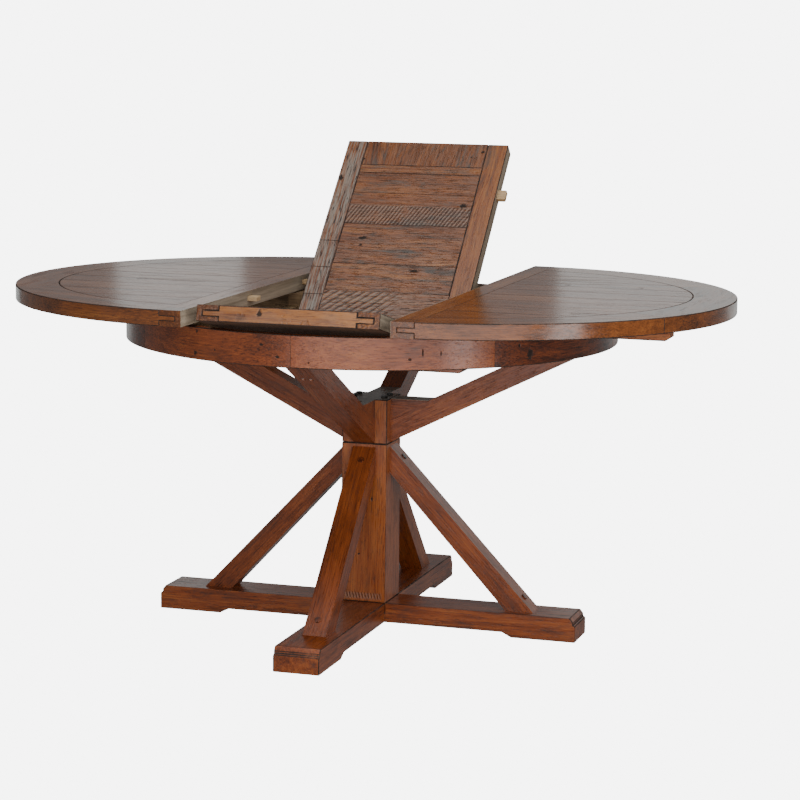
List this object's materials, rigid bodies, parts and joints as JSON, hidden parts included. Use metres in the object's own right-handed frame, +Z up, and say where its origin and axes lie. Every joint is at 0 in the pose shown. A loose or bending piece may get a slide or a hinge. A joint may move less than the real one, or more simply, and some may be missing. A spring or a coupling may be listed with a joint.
{
  "type": "extendable dining table",
  "caption": "Round wooden pedestal dining table on a cross base, its halves drawn apart and a folding butterfly leaf part way up in the opening.",
  "frame": {"origin": "on the floor at the centre of the table's outline, below the column", "axes": "+X the way the right half of the top slides out, -Y the front where the leaf's loose half lies, +Z up"},
  "size_m": [1.672, 1.21, 1.0954],
  "materials": {
    "stained_top": "red-brown stain under satin lacquer, distressed",
    "stained_base": "red-brown stain under satin lacquer, dark worn edges",
    "bare_wood": "lightly sealed",
    "raw_wood": "unfinished",
    "dark_plug": "dark stained plug",
    "hinge_brass": "aged",
    "dark_steel": "blackened"
  },
  "bodies": {
    "frame": {"apron_cleats": "stained_base", "apron_segment_1": "stained_base", "apron_segment_2": "stained_base", "apron_segment_3": "stained_base", "apron_segment_4": "stained_base", "apron_segment_5": "stained_base", "apron_segment_6": "stained_base", "apron_segment_7": "stained_base", "apron_segment_8": "stained_base", "bearer_screws": "dark_steel", "column_bolts": "dark_steel", "column_wedges": "stained_base", "foot_beam_cross": "stained_base", "foot_beam_long": "stained_base", "leaf_bearer_left": "bare_wood", "leaf_bearer_right": "bare_wood", "lower_column": "stained_base", "lower_strut_back": "stained_base", "lower_strut_front": "stained_base", "lower_strut_left": "stained_base", "lower_strut_right": "stained_base", "pivot_blocks": "bare_wood", "runner_guides": "bare_wood", "strut_plugs": "dark_plug", "strut_screws": "dark_steel", "upper_column": "stained_base", "upper_strut_back": "stained_base", "upper_strut_front": "stained_base", "upper_strut_left": "stained_base", "upper_strut_right": "stained_base"},
    "right_top": {"right_field_boards": "stained_top", "right_rim_back": "stained_top", "right_rim_front": "stained_top", "right_rim_side": "stained_top", "right_runners": "bare_wood", "right_stile": "stained_top"},
    "left_top": {"left_field_boards": "stained_top", "left_rim_back": "stained_top", "left_rim_front": "stained_top", "left_rim_side": "stained_top", "left_runners": "bare_wood", "left_stile": "stained_top", "left_tongues": "raw_wood"},
    "leaf_rear": {"fold_hinge_pins": "hinge_brass", "fold_hinge_rear_flaps": "hinge_brass", "pivot_ears": "dark_steel", "pivot_pins": "dark_steel", "rear_leaf_boards": "stained_top", "rear_leaf_end_rail": "stained_top", "rear_leaf_hinge_rail": "stained_top", "rear_leaf_stile_left": "stained_top", "rear_leaf_stile_right": "stained_top", "rear_leaf_tongues": "raw_wood"},
    "leaf_front": {"fold_hinge_front_flaps": "hinge_brass", "front_leaf_boards": "stained_top", "front_leaf_end_rail": "stained_top", "front_leaf_hinge_rail": "stained_top", "front_leaf_stile_left": "stained_top", "front_leaf_stile_right": "stained_top", "front_leaf_tongues": "raw_wood"}
  },
  "joints": [
    {"name": "right_top_slide", "type": "slide", "parent": "frame", "child": "right_top", "axis": [1, 0, 0], "range_m": [-0.0275, 0]},
    {"name": "left_top_slide", "type": "slide", "parent": "frame", "child": "left_top", "axis": [-1, 0, 0], "range_m": [-0.0275, 0]},
    {"name": "leaf_pivot", "type": "hinge", "parent": "frame", "child": "leaf_rear", "pos_m": [0, 0.15, 0.733], "axis": [1, 0, 0], "range_deg": [-45.5, 92]},
    {"name": "leaf_fold", "type": "hinge", "parent": "leaf_rear", "child": "leaf_front", "pos_m": [0, 0.00606, 0.66414], "axis": [1, 0, 0], "range_deg": [-118.6, 58.6]}
  ],
  "couplings": [
    {"joint": "leaf_fold", "follows": "leaf_pivot", "ratio": -1.287}
  ]
}
